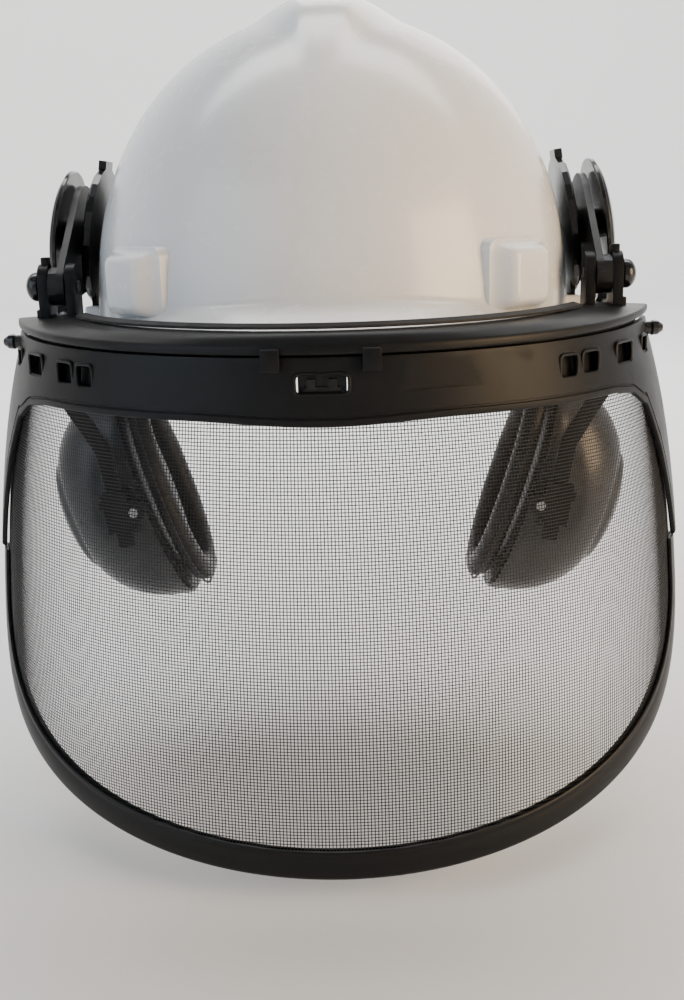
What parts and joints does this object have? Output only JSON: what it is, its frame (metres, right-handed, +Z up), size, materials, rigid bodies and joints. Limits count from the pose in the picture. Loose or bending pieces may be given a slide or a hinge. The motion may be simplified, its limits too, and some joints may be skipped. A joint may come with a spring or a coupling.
{
  "type": "face shield",
  "caption": "Mesh face shield on a safety helmet, hinged to side hubs by a brow guard, with swing-out ear muffs on sliding yokes.",
  "frame": {"origin": "centre of the head opening, in the plane of the helmet's rim", "axes": "+X to the wearer's left, -Y the way the wearer looks, +Z up"},
  "size_m": [0.3246, 0.295, 0.3596],
  "materials": {
    "shell": "moulded, white, semi-gloss",
    "gloss_black": "moulded, black, glossy",
    "satin_black": "moulded, black, satin",
    "frame_black": "moulded, near black, fine-grained satin",
    "mesh": "woven square mesh, dark grey",
    "trim": "soft extruded edging, black",
    "rubber": "soft black lip",
    "cup": "moulded, charcoal, semi-gloss",
    "cushion": "soft black imitation leather",
    "foam": "open-cell foam, grey",
    "steel": "bright pin",
    "webbing": "woven webbing, grey",
    "headband": "moulded, off-white"
  },
  "bodies": {
    "helmet": {"hat_shell": "shell", "headband": "headband", "sweatband": "cushion", "crown_strap_a": "webbing", "crown_strap_b": "webbing", "suspension_key_1": "satin_black", "suspension_key_2": "satin_black", "suspension_key_3": "satin_black", "suspension_key_4": "satin_black", "ratchet_housing": "satin_black", "hub_base_left": "gloss_black", "hub_base_right": "gloss_black"},
    "ratchet": {"ratchet_knob": "satin_black", "ratchet_pinion": "headband"},
    "rack_left": {"nape_rack_left": "headband"},
    "rack_right": {"nape_rack_right": "headband"},
    "carriers": {"carrier_arm_left": "satin_black", "carrier_arm_right": "satin_black"},
    "visor": {"brow_guard": "frame_black", "brow_seal": "rubber", "tower_pin_left": "gloss_black", "tower_pin_right": "gloss_black", "visor_frame": "frame_black", "mesh_screen": "mesh", "edge_trim": "trim", "centre_clip": "satin_black", "snap_peg_left": "gloss_black", "snap_peg_right": "gloss_black"},
    "muff_hub_left": {"muff_hub_left": "gloss_black", "hinge_pin_left": "steel"},
    "muff_arm_left": {"muff_arm_left": "satin_black"},
    "sliders_left": {"slider_front_left": "satin_black", "slider_rear_left": "satin_black", "cup_pin_front_left": "steel", "cup_pin_rear_left": "steel"},
    "ear_cup_left": {"cup_shell_left": "cup", "cup_plate_left": "satin_black", "cup_foam_left": "foam", "ear_cushion_left": "cushion"},
    "muff_hub_right": {"muff_hub_right": "gloss_black", "hinge_pin_right": "steel"},
    "muff_arm_right": {"muff_arm_right": "satin_black"},
    "sliders_right": {"slider_front_right": "satin_black", "slider_rear_right": "satin_black", "cup_pin_front_right": "steel", "cup_pin_rear_right": "steel"},
    "ear_cup_right": {"cup_shell_right": "cup", "cup_plate_right": "satin_black", "cup_foam_right": "foam", "ear_cushion_right": "cushion"}
  },
  "joints": [
    {"name": "visor_lift", "type": "hinge", "parent": "helmet", "child": "carriers", "pos_m": [0, 0, 0.044], "axis": [-1, 0, 0], "range_deg": [0, 105]},
    {"name": "visor_tilt", "type": "hinge", "parent": "carriers", "child": "visor", "pos_m": [0, -0.05, 0.023], "axis": [-1, 0, 0], "range_deg": [-2, 10]},
    {"name": "ratchet_turn", "type": "hinge", "parent": "helmet", "child": "ratchet", "pos_m": [0, 0.102, -0.018], "axis": [0, 1, 0], "range_deg": [-90, 90]},
    {"name": "rack_left_slide", "type": "slide", "parent": "helmet", "child": "rack_left", "axis": [1, 0, 0], "range_m": [-0.008, 0.008]},
    {"name": "rack_right_slide", "type": "slide", "parent": "helmet", "child": "rack_right", "axis": [1, 0, 0], "range_m": [-0.008, 0.008]},
    {"name": "muff_swivel_left", "type": "hinge", "parent": "helmet", "child": "muff_hub_left", "pos_m": [0.126, 0, 0.044], "axis": [0.9903, 0, 0.1392], "range_deg": [0, 25]},
    {"name": "muff_swing_left", "type": "hinge", "parent": "muff_hub_left", "child": "muff_arm_left", "pos_m": [0.131, 0, 0.007], "axis": [0, -1, 0], "range_deg": [0, 40]},
    {"name": "muff_height_left", "type": "slide", "parent": "muff_arm_left", "child": "sliders_left", "axis": [0.1678, 0, 0.9858], "range_m": [-0.006, 0.013]},
    {"name": "cup_tilt_left", "type": "hinge", "parent": "sliders_left", "child": "ear_cup_left", "pos_m": [0.098, 0.01, -0.086], "axis": [0, -1, 0], "range_deg": [-8, 8]},
    {"name": "muff_swivel_right", "type": "hinge", "parent": "helmet", "child": "muff_hub_right", "pos_m": [-0.126, 0, 0.044], "axis": [0.9903, 0, -0.1392], "range_deg": [0, 25]},
    {"name": "muff_swing_right", "type": "hinge", "parent": "muff_hub_right", "child": "muff_arm_right", "pos_m": [-0.131, 0, 0.007], "axis": [0, 1, 0], "range_deg": [0, 40]},
    {"name": "muff_height_right", "type": "slide", "parent": "muff_arm_right", "child": "sliders_right", "axis": [-0.1678, 0, 0.9858], "range_m": [-0.006, 0.013]},
    {"name": "cup_tilt_right", "type": "hinge", "parent": "sliders_right", "child": "ear_cup_right", "pos_m": [-0.098, 0.01, -0.086], "axis": [0, 1, 0], "range_deg": [-8, 8]}
  ],
  "couplings": [
    {"joint": "rack_left_slide", "follows": "ratchet_turn", "m_per_rad": 0.005},
    {"joint": "rack_right_slide", "follows": "ratchet_turn", "m_per_rad": -0.005}
  ]
}
